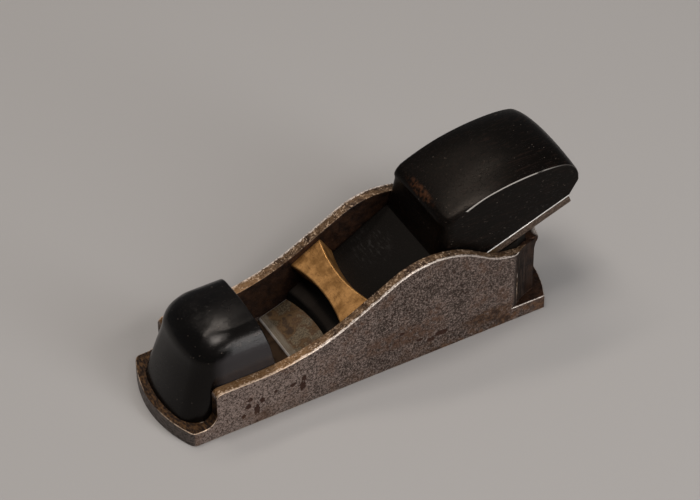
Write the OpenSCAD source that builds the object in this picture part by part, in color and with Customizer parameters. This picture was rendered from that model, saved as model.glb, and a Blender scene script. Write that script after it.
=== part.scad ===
// Thumb plane: a small metal-shod wedged plane with an ebony bun and an ebony palm wedge.
// Millimetres. X runs from toe to heel, Z is up, the sole lies on z = 0 with its centre at the origin.

/* [Sole] */
// Length of the sole between the crowns of the two bowed ends
sole_len = 108; // [106:0.5:112]
// Width of the sole
sole_w = 31.75; // [31.25:0.25:38]
// How far each bowed end stands out past its corners
end_bow = 4; // [3:0.5:4.5]
// Thickness of the sole plate
plate_t = 4.2; // [3.8:0.1:4.6]

/* [Walls] */
// Thickness of the side walls
wall_t = 2.9; // [2.4:0.1:2.9]
// Distance from the toe corner back to the front of the walls
wall_front = 6.5; // [5:0.5:8]
// Radius of the cove where the front of a wall meets the sole plate
front_cove_r = 3.5; // [2:0.25:4.5]
// Height of the low front part of the walls
wall_low_h = 14.2; // [12:0.2:15.4]
// Height of the crest of the walls
wall_crest_h = 30.5; // [29:0.25:32]
// Slope of the straight part of the wall top in degrees
wall_rise_a = 29; // [27:1:32]

/* [Heel] */
// Radius of the hollow in each rear corner
cove_r = 15.9; // [15:0.1:17]
// Thickness of the rear wall
rear_wall_t = 2.6; // [2:0.1:3.2]
// How far the lip of the rear wall stands out
lip_out = 1.1; // [0.6:0.1:1.6]

/* [Iron] */
// Angle of the bed in degrees
bed_a = 20.4; // [19.4:0.2:21]
// Width of the iron
iron_w = 25.4; // [23:0.1:25.5]
// Thickness of the iron
iron_t = 2.4; // [1.8:0.1:3]
// Length of the iron along the bed
iron_len = 84.6; // [83:0.2:86]
// Ground angle of the iron in degrees
grind_a = 23; // [20:1:30]
// Width of the mouth in front of the edge
mouth_w = 1.1; // [0.6:0.1:2]

/* [Wedge] */
// Taper of the wedge in degrees
wedge_a = 10.6; // [9.4:0.2:11.2]
// Thickness of the tongue at its toe, measured upright
toe_t = 2; // [1.4:0.1:2.4]
// Height of the palm above the sole
palm_h = 43.5; // [42.5:0.1:45]
// Cross crown of the palm
palm_crown = 2; // [0.5:0.1:3]

/* [Bridge] */
// Thickness of the bridge square to its top
bridge_t = 6.5; // [5:0.25:7]
// Length of the bridge at the walls, along its slope
bridge_len = 9.9; // [9:0.1:11]
// Depth of the waist in each long edge of the bridge
bridge_waist = 1.9; // [1:0.1:2.6]

/* [Bun] */
// Height of the bun above the sole
bun_h = 26.4; // [24:0.2:28]
// Ledge of the sole plate in front of the bun
bun_ledge = 2.1; // [1.5:0.1:3]

/* [Hidden] */

$fn = 96;
seat_gap = 0.03;                        // gap between faces that bear on each other
fit_gap = 0.02;                         // gap round a pin or screw driven in tight
more = 1;                               // length by which a cut runs past a face
hair = 0.001;                           // depth by which joined shapes run into each other
half_len = sole_len / 2;
half_w = sole_w / 2;
end_r = (half_w * half_w + end_bow * end_bow) / (2 * end_bow);
corner_x = half_len - end_bow;          // distance of the sole's corners from its centre
front_x = -corner_x + wall_front;       // front of the side walls
cavity_w = sole_w - 2 * wall_t;
cavity_half = cavity_w / 2;

// Bed, iron and wedge lines, as heights over the sole at a place along it
edge_x = -21.7;                         // where the iron's underside line meets the sole
edge_rise = 0.1;                        // height of the retracted cutting edge
iron_drop = iron_t / cos(bed_a);
function bed_z(x) = (x - edge_x) * tan(bed_a);
function iron_top_z(x) = bed_z(x) + iron_drop;
wedge_base_up = iron_drop + seat_gap;
function wedge_low_z(x) = bed_z(x) + wedge_base_up;
toe_x = -9.1;                           // toe corners of the wedge
toe_hollow = 1.6;                       // hollow of the toe in plan
toe_lean = 0.55;                        // how far the toe's face leans back
top_a = bed_a + wedge_a;                // slope of the wedge's top and of the bridge
top_x = toe_x + toe_lean;
function wedge_top_z(x) = wedge_low_z(top_x) + toe_t + (x - top_x) * tan(top_a);

// Top line of the side walls
low_end_x = -32;                        // where the low front part starts to rise
rise_r = 55;                            // concave radius below the straight rise
crest_front_r = 19.6;                   // convex radii either side of the crest
crest_rear_r = 24;
fall_a = 33;                            // slope behind the crest
tail_a = 8;                             // slope of the top at the heel
tail_r = 19;
rise_x = low_end_x + rise_r * sin(wall_rise_a);
rise_z = wall_low_h + rise_r * (1 - cos(wall_rise_a));
crest_start_z = wall_crest_h - crest_front_r * (1 - cos(wall_rise_a));
crest_start_x = rise_x + (crest_start_z - rise_z) / tan(wall_rise_a);
crest_x = crest_start_x + crest_front_r * sin(wall_rise_a);
fall_x = crest_x + crest_rear_r * sin(fall_a);
fall_z = wall_crest_h - crest_rear_r * (1 - cos(fall_a));
fall_run = 2.6;                         // straight part of the fall behind the crest
tail_x = fall_x + fall_run;
tail_z = fall_z - fall_run * tan(fall_a);
tail_end_x = tail_x + tail_r * (sin(fall_a) - sin(tail_a));
tail_end_z = tail_z - tail_r * (cos(tail_a) - cos(fall_a));
rear_back = 3;                          // distance of the rear wall from the heel
rear_x = half_len - rear_back;          // crown of the rear wall's bow
rear_z = tail_end_z - (rear_x + more - tail_end_x) * tan(tail_a);
front_round_r = 1.7;

// Rear corner hollows and the cavity behind the bed
cove_x = half_len - 2.1;
cove_bite = 4.25;                       // how far a hollow cuts in from the side
cove_y = half_w + cove_r - cove_bite;
cove_wall_t = 1.3;
rear_bow_x = rear_x - end_r;

// Lip on the rear wall
lip_z = 17.8;
lip_flare_h = 2.4;
lip_h = 3.4;
lip_half_w = 11.4;
lip_seat = 0.05;                        // how far the lip's foot is let into the wall
lip_reach = 12;                         // length of wall that carries the lip

// Bridge
bridge_mid_x = -3.27;                   // middle of the bridge's top line
bridge_low_gap = seat_gap / cos(top_a);
pin_r = 1.1;
pin_len = 7.5;
pin_spread = 4.8;

// Screws
screw_r = 1.5;
head_r = 2.9;
head_t = 1.7;
head_sink = 0.1;
slot_w = 0.7;
slot_t = 0.8;
tip_t = 2.2;
tip_r = 0.2;                            // blunt end of the screw's point
tip_short = 0.3;

// Points of an arc round (cx, cy), from angle a0 to a1 in n steps
function arc(cx, cy, r, a0, a1, n) =
    [for (i = [0:n]) [cx + r * cos(a0 + (a1 - a0) * i / n), cy + r * sin(a0 + (a1 - a0) * i / n)]];

// A flat outline in the XZ plane drawn out across the width w
module across(w) {
    translate([0, w / 2, 0]) rotate([90, 0, 0]) linear_extrude(w) children();
}

// Closed skin over rows of points, each row a closed loop
module skin(rows) {
    n = len(rows);
    m = len(rows[0]);
    points = [for (r = rows) each r];
    sides = [for (i = [0:n - 2]) for (j = [0:m - 1])
        each [[i * m + j, (i + 1) * m + j, i * m + (j + 1) % m],
              [i * m + (j + 1) % m, (i + 1) * m + j, (i + 1) * m + (j + 1) % m]]];
    first = [for (j = [0:m - 1]) j];
    last = [for (j = [m - 1:-1:0]) (n - 1) * m + j];
    polyhedron(points, concat([first], sides, [last]), convexity = 4);
}

// Bowed end of radius r about a centre at x, as wide as w, running from x0 in the direction s
module bow(x, r, w, x0, s) {
    intersection() {
        translate([x, 0]) circle(r);
        translate([x0 + s * half_len / 2, 0]) square([half_len, w], center = true);
    }
}

// Outline of the sole: two bowed ends on straight sides
module sole_plan() {
    square([2 * corner_x, sole_w], center = true);
    for (s = [-1, 1]) bow(s * (half_len - end_r), end_r, sole_w, s * (corner_x - more), s);
}

// Outer outline of the walls, with a hollow cut into each rear corner
module wall_plan() {
    difference() {
        union() {
            translate([front_x - front_cove_r - more, -half_w])
                square([rear_x - end_bow - front_x + front_cove_r + more, sole_w]);
            bow(rear_bow_x, end_r, sole_w, rear_x - end_bow - more, 1);
        }
        for (s = [-1, 1]) translate([cove_x, s * cove_y]) circle(cove_r);
    }
}

// Outline of the cavity between the walls
module cavity_plan(inset) {
    difference() {
        union() {
            translate([-half_len, -cavity_half + inset])
                square([half_len + rear_x - end_bow - rear_wall_t, cavity_w - 2 * inset]);
            bow(rear_bow_x, end_r - rear_wall_t - inset, cavity_w - 2 * inset, 0, 1);
        }
        for (s = [-1, 1]) translate([cove_x, s * cove_y]) circle(cove_r + cove_wall_t + inset);
    }
}

// Side view of the walls
module wall_side() {
    polygon(concat(
        [[rear_x + more, 0], [front_x - front_cove_r, 0]],
        arc(front_x - front_cove_r, plate_t + front_cove_r, front_cove_r, -90, 0, 6),
        arc(front_x + front_round_r, wall_low_h - front_round_r, front_round_r, 180, 90, 5),
        arc(low_end_x, wall_low_h + rise_r, rise_r, -90, -90 + wall_rise_a, 8),
        arc(crest_x, wall_crest_h - crest_front_r, crest_front_r, 90 + wall_rise_a, 90, 7),
        arc(crest_x, wall_crest_h - crest_rear_r, crest_rear_r, 90, 90 - fall_a, 8),
        arc(tail_x + tail_r * sin(fall_a), tail_z + tail_r * cos(fall_a), tail_r, -90 - fall_a, -90 - tail_a, 6),
        [[rear_x + more, rear_z]]));
}

// Slot through the sole: nearly upright in front of the edge, sloped as the bed behind it
mouth_flare = 0.9;
module mouth_side() {
    polygon([[edge_x - mouth_w, -more], [edge_x - mouth_w - mouth_flare, plate_t + more],
             [edge_x + (plate_t + more) / tan(bed_a), plate_t + more], [edge_x - more / tan(bed_a), -more]]);
}

// Places along the sole and heights of the four wood screws
bun_screw_x = [-45.5, -31];
bun_screw_top = 15;
bed_screw_x = [10, 36];
bed_screw_top = [9.5, 16];

module screw_hole(x) {
    translate([x, 0, -more]) cylinder(r = screw_r + fit_gap, h = plate_t + 2 * more);
    translate([x, 0, 0]) cylinder(r1 = head_r + fit_gap, r2 = screw_r + fit_gap, h = head_t);
    translate([x, 0, -more]) cylinder(r = head_r + fit_gap, h = more + hair);
}

module screw_socket(x, top) {
    translate([x, 0, 0]) cylinder(r = screw_r + fit_gap, h = top - tip_t + fit_gap);
    translate([x, 0, top - tip_t + fit_gap]) cylinder(r1 = screw_r + fit_gap, r2 = fit_gap, h = tip_t);
}

// A slotted countersunk wood screw, driven up through the sole
module screw(x, top) {
    color("dimgray") translate([x, 0, 0]) difference() {
        union() {
            translate([0, 0, head_sink])
                cylinder(r1 = head_r - (head_r - screw_r) * head_sink / head_t - fit_gap,
                         r2 = screw_r - fit_gap, h = head_t - head_sink);
            translate([0, 0, head_t - 2 * fit_gap])
                cylinder(r = screw_r - fit_gap, h = top - tip_t - head_t + 2 * fit_gap);
            translate([0, 0, top - tip_t]) cylinder(r1 = screw_r - fit_gap, r2 = tip_r, h = tip_t - tip_short);
        }
        translate([-head_r - more, -slot_w / 2, head_sink - more])
            cube([2 * (head_r + more), slot_w, slot_t + more]);
    }
}

// Cast metal shoe: sole plate, side walls with a shaped top and the rear wall with its lip
module shoe() {
    color("slategray") difference() {
        union() {
            linear_extrude(plate_t) sole_plan();
            intersection() {
                linear_extrude(wall_crest_h + more) wall_plan();
                across(sole_w) wall_side();
            }
            intersection() {
                translate([rear_bow_x, 0, lip_z]) union() {
                    cylinder(r1 = end_r - lip_seat, r2 = end_r + lip_out, h = lip_flare_h);
                    translate([0, 0, lip_flare_h]) cylinder(r = end_r + lip_out, h = lip_h - lip_flare_h);
                }
                translate([cove_x - lip_reach, -lip_half_w, 0]) cube([2 * lip_reach, 2 * lip_half_w, wall_crest_h]);
            }
        }
        translate([0, 0, plate_t]) linear_extrude(wall_crest_h) cavity_plan(0);
        across(cavity_w) mouth_side();
        for (x = bun_screw_x) screw_hole(x);
        for (x = bed_screw_x) screw_hole(x);
        for (s = [-1, 1]) for (e = [-1, 1]) pin_place(s, e) translate([0, 0, -more])
            cylinder(r = pin_r + fit_gap, h = pin_len + more + fit_gap);
    }
}

// Ebony bun: bowed front, arched across, rear face leaning forward over the mouth
bun_rear_x = -23.65;
bun_rear_lean = 0.2;
bun_side = cavity_half - seat_gap;
bun_base = plate_t + seat_gap;
bun_front = -half_len + bun_ledge;
bun_corner_r = 6;
bun_arch_r = 6.4;
bun_crown = 0.5;
bun_front_lean = 0.35;
bun_nose_part = 0.26;                   // share of the height taken by the rounded nose
bun_nose_len = 11;
bun_nose_power = 0.9;
bun_back_bevel = 0.5;
bun_rows = 20;
bun_nose_n = 10;

// Front of the bun in plan at a place y across it
function bun_front_x(y) = let (
        a = abs(y),
        c = bun_side - bun_corner_r,
        bow_at_c = end_r - sqrt(end_r * end_r - c * c))
    a <= c ? bun_front + end_r - sqrt(end_r * end_r - a * a)
           : bun_front + bow_at_c + bun_corner_r
             - sqrt(max(0, bun_corner_r * bun_corner_r - (a - c) * (a - c)));

// Height of the bun's arch at a place y across it
function bun_arch_z(y) = let (
        a = abs(y),
        c = bun_side - bun_arch_r,
        crown = bun_crown * (1 - min(1, a / c) * min(1, a / c)))
    bun_h - bun_crown - bun_arch_r + crown
    + (a <= c ? bun_arch_r : sqrt(max(0, bun_arch_r * bun_arch_r - (a - c) * (a - c))));

// Side outline of the bun at y: up the front, round the nose, back along the top, down the rear face
function bun_row(y) = let (
        h = bun_arch_z(y) - bun_base,
        x0 = bun_front_x(y),
        nose_h = bun_nose_part * h,
        nose_x = x0 + bun_front_lean * (h - nose_h),
        rear_top = bun_rear_x - bun_rear_lean * h)
    concat(
        [[x0, y, bun_base]],
        [for (i = [0:bun_nose_n]) let (t = 90 * i / bun_nose_n)
            [nose_x + bun_nose_len * (1 - pow(cos(t), bun_nose_power)), y,
             bun_base + h - nose_h * (1 - pow(sin(t), bun_nose_power))]],
        [[rear_top - bun_back_bevel, y, bun_base + h], [rear_top, y, bun_base + h - bun_back_bevel],
         [bun_rear_x, y, bun_base]]);

module front_bun() {
    color([0.07, 0.065, 0.06]) difference() {
        skin([for (i = [0:bun_rows]) bun_row(-bun_side * cos(180 * i / bun_rows))]);
        for (x = bun_screw_x) screw_socket(x, bun_screw_top);
    }
}

// Ebony block under the iron, from the mouth back to the rear wall
bed_toe_t = 0.8;
bed_toe_x = edge_x + (plate_t + bed_toe_t) / tan(bed_a);

module bed_block() {
    color([0.07, 0.065, 0.06]) difference() {
        intersection() {
            translate([0, 0, plate_t + seat_gap]) linear_extrude(wall_crest_h) cavity_plan(seat_gap);
            across(cavity_w) polygon([
                [bed_toe_x, 0], [bed_toe_x, bed_z(bed_toe_x) - seat_gap],
                [half_len, bed_z(half_len) - seat_gap], [half_len, 0]]);
        }
        for (i = [0:1]) screw_socket(bed_screw_x[i], bed_screw_top[i]);
    }
}

// Iron: a plain slab on the bed, ground on its upper side at the edge
iron_edge_x = edge_x + edge_rise / tan(bed_a);
grind_run = iron_drop / (tan(bed_a + grind_a) - tan(bed_a));
iron_end_x = iron_edge_x + iron_len * cos(bed_a);
module iron() {
    color([0.45, 0.43, 0.41]) across(iron_w) polygon([
        [iron_edge_x, bed_z(iron_edge_x)],
        [iron_end_x + iron_t * sin(bed_a), bed_z(iron_end_x + iron_t * sin(bed_a))],
        [iron_end_x, iron_top_z(iron_end_x)],
        [iron_edge_x + grind_run, iron_top_z(iron_edge_x + grind_run)]]);
}

// Palm of the wedge, as side outlines set across its width
step_x = 19.8;                          // foot of the palm's front face
palm_lean = 0.22;                       // how far the front face leans back per height
palm_side = iron_w / 2;
palm_front_r = 1.8;                     // rounding of the upright front corners
palm_rear_r = 1.6;                      // rounding of the upright rear corners
tongue_in = 4;                          // how far the tongue runs into the palm
palm_sink = 6;                          // depth to which the palm runs into the tongue
palm_brow_x = 23.1;                     // where the top rounds over to the front face
palm_brow_z = palm_h - 5.2;
palm_brow_r = 2.6;
palm_apex_x = 48.8;                     // highest place of the palm
palm_power = 2.1;                       // shape of the rise from brow to apex
palm_fall_r = 41;                       // arc behind the apex
palm_fall_a = 10;                       // slope where that arc ends
palm_end_x = 60.6;                      // rearmost place of the palm
palm_tail_r = 6;                        // rounding over the upper rear edge
palm_heel_r = 2;                        // rounding under the lower rear edge
palm_heel_z = palm_h - 6.6;
palm_under_a = 46;                      // slope of the face under the rear edge
palm_crown_power = 2.6;
palm_crown_h = 4;                       // height over which the crown grows above the brow
palm_edge_n = 6;
palm_flat_n = 8;
palm_top_n = 14;
palm_under_gap = 0.2;                   // how far the palm's underside runs past the iron
under_cut = 3;                          // depth below the iron's top from which the underside is planed
palm_tail_x = palm_end_x - palm_tail_r;
palm_tail_z = palm_h - palm_fall_r * (1 - cos(palm_fall_a)) - palm_tail_r * cos(palm_fall_a);
palm_c = palm_side - palm_rear_r;
palm_cols = concat(
    [for (i = [0:palm_edge_n]) -palm_c - palm_rear_r * cos(90 * i / palm_edge_n)],
    [for (i = [1:palm_flat_n - 1]) palm_c * (2 * i / palm_flat_n - 1)],
    [for (i = [0:palm_edge_n]) palm_c + palm_rear_r * sin(90 * i / palm_edge_n)]);

// Setback of a rounded corner of radius r at y
function setback(y, r) = let (a = abs(y) - (palm_side - r))
    a <= 0 ? 0 : r - sqrt(max(0, r * r - a * a));

// Side outline of the palm: up the front, over the brow, along the top, round the rear and back underneath
function palm_outline() = let (
        front_x = step_x - palm_lean * palm_sink,
        under_x = iron_end_x + palm_under_gap)
    concat(
        [[front_x, wedge_top_z(step_x) - palm_sink]],
        arc(palm_brow_x + palm_brow_r / 3, palm_brow_z - palm_brow_r, palm_brow_r, 168, 118, 5),
        [for (i = [0:palm_top_n]) let (x = palm_brow_x + (palm_apex_x - palm_brow_x) * i / palm_top_n)
            [x, palm_h - (palm_h - palm_brow_z) * pow((palm_apex_x - x) / (palm_apex_x - palm_brow_x), palm_power)]],
        [for (i = [1:3]) let (t = palm_fall_a * i / 4)
            [palm_apex_x + palm_fall_r * sin(t), palm_h - palm_fall_r * (1 - cos(t))]],
        arc(palm_tail_x, palm_tail_z, palm_tail_r, 90 - palm_fall_a, 0, 7),
        arc(palm_end_x - palm_heel_r, palm_heel_z, palm_heel_r, 0, palm_under_a - 90, 5),
        [[under_x - under_cut / tan(palm_under_a), wedge_low_z(under_x) - under_cut],
         [front_x, wedge_low_z(front_x) - under_cut]]);

module palm() {
    flat = palm_outline();
    mid = (palm_brow_x + palm_end_x) / 2;
    skin([for (y = palm_cols) let (
            front = setback(y, palm_front_r),
            rear = setback(y, palm_rear_r),
            crown = palm_crown * (1 - pow(abs(y) / palm_side, palm_crown_power)))
        [for (p = flat) let (
                kf = max(0, min(1, (mid - p[0]) / (mid - step_x))),
                kr = max(0, min(1, (p[0] - mid) / (palm_end_x - mid))),
                kz = max(0, min(1, (p[1] - palm_brow_z + palm_brow_r) / palm_crown_h)))
            [p[0] + front * kf - rear * pow(kr, 3), y, p[1] + crown * kz]]]);
}

// Ebony wedge: thin tongue with a hollow toe, and the palm that fills the hand behind it
module palm_wedge() {
    toe_r = (palm_side * palm_side + toe_hollow * toe_hollow) / (2 * toe_hollow);
    toe_slope = toe_lean / (toe_t + toe_lean * tan(bed_a));
    in_x = step_x + tongue_in;
    start_x = toe_x - half_len / 2;
    end_x = palm_end_x + half_len / 2;
    color([0.08, 0.075, 0.07]) difference() {
        union() {
            across(iron_w) polygon([
                [toe_x - under_cut * toe_slope, wedge_low_z(toe_x) - under_cut],
                [top_x, wedge_top_z(top_x)], [in_x, wedge_top_z(in_x)],
                [in_x, wedge_low_z(in_x) - under_cut]]);
            palm();
        }
        across(sole_w) polygon([
            [start_x, wedge_low_z(start_x)], [end_x, wedge_low_z(end_x)], [end_x, -half_len], [start_x, -half_len]]);
        translate([toe_x + toe_hollow - toe_r, 0, -more]) cylinder(r = toe_r, h = palm_h, $fn = 240);
    }
}

// Puts its children at a bridge pin: s is the side, e the front or rear pin; the pin runs inward along its Z
module pin_place(s, e) {
    along = e * pin_spread / 2;
    down = bridge_t / 2;
    x = bridge_mid_x + along * cos(top_a) + down * sin(top_a);
    z = bridge_top_z(bridge_mid_x) + along * sin(top_a) - down * cos(top_a);
    translate([x, s * half_w, z]) rotate([s * 90, 0, 0]) children();
}

function bridge_top_z(x) = wedge_top_z(x) + bridge_low_gap + bridge_t / cos(top_a);

// Brass bridge between the walls, waisted in plan, its underside bearing on the wedge
module bridge() {
    waist_half = cavity_half - seat_gap;
    waist_r = (waist_half * waist_half + bridge_waist * bridge_waist) / (2 * bridge_waist);
    color("darkgoldenrod") difference() {
        translate([bridge_mid_x, 0, bridge_top_z(bridge_mid_x)]) rotate([0, -top_a, 0])
            translate([0, 0, -bridge_t]) linear_extrude(bridge_t) difference() {
                square([bridge_len, 2 * waist_half], center = true);
                for (e = [-1, 1])
                    translate([e * (bridge_len / 2 - bridge_waist + waist_r), 0]) circle(waist_r, $fn = 240);
            }
        for (s = [-1, 1]) for (e = [-1, 1]) pin_place(s, e)
            cylinder(r = pin_r + fit_gap, h = pin_len + fit_gap);
    }
}

// Iron pin driven through a wall into the bridge and filed flush
module bridge_pin(s, e) {
    color("gray") pin_place(s, e) translate([0, 0, fit_gap]) cylinder(r = pin_r - fit_gap, h = pin_len - fit_gap);
}

shoe();
front_bun();
bed_block();
iron();
palm_wedge();
bridge();
bridge_pin(-1, -1);  // bridge_pin_near_front
bridge_pin(-1, 1);  // bridge_pin_near_rear
bridge_pin(1, -1);  // bridge_pin_far_front
bridge_pin(1, 1);  // bridge_pin_far_rear
screw(bun_screw_x[0], bun_screw_top);  // bun_screw_front
screw(bun_screw_x[1], bun_screw_top);  // bun_screw_rear
screw(bed_screw_x[0], bed_screw_top[0]);  // bed_screw_front
screw(bed_screw_x[1], bed_screw_top[1]);  // bed_screw_rear
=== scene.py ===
import bmesh
import bpy
import math
from mathutils import Matrix, Vector


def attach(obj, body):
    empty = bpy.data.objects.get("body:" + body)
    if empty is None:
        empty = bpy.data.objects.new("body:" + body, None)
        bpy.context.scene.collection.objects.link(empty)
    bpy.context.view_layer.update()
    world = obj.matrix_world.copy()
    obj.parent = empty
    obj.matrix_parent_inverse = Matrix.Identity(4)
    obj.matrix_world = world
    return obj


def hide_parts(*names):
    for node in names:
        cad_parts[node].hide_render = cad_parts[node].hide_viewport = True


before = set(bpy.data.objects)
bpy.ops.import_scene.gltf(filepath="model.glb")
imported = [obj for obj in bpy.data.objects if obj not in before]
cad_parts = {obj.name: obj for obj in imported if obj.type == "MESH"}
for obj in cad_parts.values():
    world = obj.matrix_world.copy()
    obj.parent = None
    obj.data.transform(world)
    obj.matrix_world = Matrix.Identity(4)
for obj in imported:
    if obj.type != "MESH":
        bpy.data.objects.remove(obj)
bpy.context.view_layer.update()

# Metal shoe
# One iron casting: the sole plate, two side walls with a swept top and the bowed rear wall with its lip.
# The outside is filed smooth and worn bright along its edges, with a painted highlight on the bright rims;
# the inside is left rough and has rusted brown.
MM = 0.001  # sizes and places are in millimetres, and Blender takes metres
WALL_IN = 12.975
WALL_OUT = 15.875
PLATE_T = 4.2
BOW_R = 33.5
HEEL_BOW_X = 54.0 - BOW_R
TOE_CORNER_X = -50.0
LEDGE_BACK_X = -47.05
HEEL_COVE_X = (40, 43)
PIN_X = (-5.5, 2.5)
PIN_Z = (14.5, 20.5)
SCREW_STRIP = 3.2
TOE_CORNER_R = 1.0
HEEL_CORNER_R = 1.6
RUBBED_R = 0.24
# Of a pair of colours, the second is laid in patches over the first.
FILED_IRON = (0.35, 0.268, 0.23)
DIRTY_IRON = (0.034, 0.022, 0.016)
BROWN_HAZE = (0.115, 0.06, 0.036)
DARK_SPECK = (0.045, 0.029, 0.022)
PIT_RUST = (0.038, 0.0135, 0.007)
FOOT_RUST = ((0.15, 0.074, 0.036), (0.035, 0.016, 0.008))
INSIDE_RUST = ((0.01, 0.004, 0.0024), (0.058, 0.025, 0.012))
LEDGE_RUST = ((0.012, 0.0055, 0.003), (0.1, 0.05, 0.02))
COVE_RUST_AND_SHADE = ((0.006, 0.003, 0.002), (0.032, 0.019, 0.013))
GROUND_TOE_AND_SHADE = ((0.042, 0.033, 0.028), (0.14, 0.113, 0.1))
TOP_RUST = ((0.025, 0.011, 0.005), (0.13, 0.075, 0.038))
TOP_GOLDEN = (0.24, 0.125, 0.048)
TOP_SPECK_AND_GLINT = (0.58, 0.42, 0.29)
BRIGHT_WEAR_AND_HIGHLIGHT = ((0.36, 0.28, 0.235), (0.82, 0.74, 0.67))
GOLDEN_WEAR_AND_HIGHLIGHT = (0.56, 0.37, 0.22)
# A spot is its middle and its reach along each axis, and a pit is its x and z and its reach along both.
HAZE_SPOT = ((8, -WALL_OUT, 9.3), (16, 3, 4.2))
HEEL_STAIN = ((34.0, -WALL_OUT, 5.0), (11, 2, 3.4))
PITS = ((-31.2, 7.0, 1.0, 1.1), (-32.6, 4.6, 1.1, 2.3), (-34.4, 8.6, 0.9, 0.9), (-35.0, 6.6, 1.0, 1.2),
        (-20.1, 6.6, 1.2, 2.0), (-19.6, 8.8, 0.9, 1.1), (-22.6, 8.0, 1.2, 0.8), (-36.4, 3.9, 0.8, 1.0),
        (19.5, 5.8, 2.4, 1.1), (16.4, 4.9, 1.8, 0.8), (-27.5, 8.2, 0.7, 0.6), (8.0, 10.5, 0.8, 0.7),
        (13.2, 6.2, 1.4, 0.6))
LIP_TIP = (50.9, 9.9, 21.2)
LIP_TIP_REACH = (1.8, 2.2, 1.2)


def to_object_mode():
    if bpy.context.object and bpy.context.object.mode != "OBJECT":
        bpy.ops.object.mode_set(mode="OBJECT")


def start_editing(piece):
    """Opens one piece in edit mode with nothing selected on it."""
    to_object_mode()
    bpy.ops.object.select_all(action="DESELECT")
    piece.select_set(True)
    bpy.context.view_layer.objects.active = piece
    bpy.ops.object.mode_set(mode="EDIT")
    bpy.ops.mesh.select_all(action="DESELECT")


def pick(piece, kind, test):
    """Selects the vertices, edges or faces that pass a test on their corners' places in millimetres."""
    bpy.ops.mesh.select_mode(type=kind)
    bpy.ops.mesh.select_all(action="DESELECT")
    work = bmesh.from_edit_mesh(piece.data)
    parts = {"VERT": work.verts, "EDGE": work.edges, "FACE": work.faces}[kind]
    for part in parts:
        corners = [part] if kind == "VERT" else part.verts
        if test([corner.co / MM for corner in corners]):
            part.select_set(True)
    work.select_flush_mode()
    bmesh.update_edit_mesh(piece.data)


def keep_picked(piece, test):
    """Drops from the selected edges those whose two ends fail the test."""
    work = bmesh.from_edit_mesh(piece.data)
    for edge in work.edges:
        if edge.select and not test([corner.co / MM for corner in edge.verts]):
            edge.select_set(False)
    bmesh.update_edit_mesh(piece.data)


def two_empty_slots(piece):
    """Two places for finishes, so that a bevel can tell its new faces from the old ones."""
    piece.data.materials.clear()
    piece.data.materials.append(None)
    piece.data.materials.append(None)


def mark_worn(piece):
    """Turns the faces that a bevel made into the worn attribute that the finishes read."""
    to_object_mode()
    new_faces = [face.material_index == 1 for face in piece.data.polygons]
    piece.data.materials.clear()
    worn = piece.data.attributes.new("worn", "FLOAT", "FACE")
    for face in piece.data.polygons:
        worn.data[face.index].value = float(new_faces[face.index])
        face.material_index = 0


def smooth(piece, angle):
    to_object_mode()
    bpy.ops.object.select_all(action="DESELECT")
    piece.select_set(True)
    bpy.context.view_layer.objects.active = piece
    bpy.ops.object.shade_smooth_by_angle(angle=math.radians(angle))


def keep_flats_flat(piece):
    """Lets a large flat face keep its own direction beside a narrow rounding."""
    weighting = piece.modifiers.new("flats stay flat", "WEIGHTED_NORMAL")
    weighting.keep_sharp = True
    bpy.ops.object.modifier_apply(modifier=weighting.name)


def steep(ends):
    return abs(ends[0].z - ends[1].z) > 1


def in_heel_cove(point):
    return HEEL_COVE_X[0] < point.x < HEEL_COVE_X[1]


def toe_corner(ends):
    """True for the two upright edges where the sides of the sole plate meet its bowed toe."""
    return steep(ends) and all(p.x < TOE_CORNER_X + 0.1 and abs(p.y) > WALL_OUT - 0.075 for p in ends)


def heel_corner(ends):
    """True for the upright edges where the outside of a wall turns into the cove at the heel."""
    return steep(ends) and all(abs(abs(p.y) - WALL_OUT) < 0.05 and in_heel_cove(p) for p in ends)


def handled_edge(ends):
    """True for the edges that hands and the file have rounded: not the holes, mouth or inside corners."""
    near_plate = all(p.z < PLATE_T + 0.1 for p in ends)
    in_hole = any(abs(p.y) < SCREW_STRIP and p.z < PLATE_T + 0.1 and abs(p.x) > 4 for p in ends)
    at_pin = all(abs(p.y) > 8 and PIN_X[0] < p.x < PIN_X[1] and PIN_Z[0] < p.z < PIN_Z[1] for p in ends)
    at_pin = at_pin and (ends[0] - ends[1]).length < 1.5
    at_floor = all(abs(p.z - PLATE_T) < 0.01 and p.x > LEDGE_BACK_X for p in ends)
    at_floor = at_floor and all(math.hypot(p.x - HEEL_BOW_X, p.y) < BOW_R - 0.05 for p in ends)
    at_floor = at_floor and any(abs(p.y) < WALL_OUT - 0.01 for p in ends)
    inside = near_plate and all(abs(p.y) < WALL_IN + 0.01 and abs(p.x) < 44 for p in ends)
    at_cove = steep(ends) and all(in_heel_cove(p) and abs(p.y) > 14 for p in ends)
    return not (in_hole or at_pin or at_floor or inside or at_cove)


shoe = bpy.data.objects.new("metal_shoe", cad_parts["shoe"].data.copy())
bpy.context.collection.objects.link(shoe)
two_empty_slots(shoe)
start_editing(shoe)
bpy.ops.mesh.select_all(action="SELECT")
bpy.ops.mesh.remove_doubles(threshold=0.002 * MM)
bpy.ops.mesh.dissolve_limited(angle_limit=math.radians(0.6), delimit={"NORMAL"})
pick(shoe, "EDGE", toe_corner)
bpy.ops.mesh.bevel(offset=TOE_CORNER_R * MM, segments=3, clamp_overlap=False)
for side in (-WALL_OUT, WALL_OUT):
    pick(shoe, "FACE", lambda corners: all(abs(p.y - side) < 0.02 for p in corners))
    bpy.ops.mesh.bisect(plane_co=(0, 0, PLATE_T * MM), plane_no=(0, 0, 1))
pick(shoe, "EDGE", heel_corner)
bpy.ops.mesh.bevel(offset=HEEL_CORNER_R * MM, segments=6, clamp_overlap=False)
bpy.ops.mesh.select_all(action="SELECT")
bpy.ops.mesh.remove_doubles(threshold=0.02 * MM)
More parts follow.
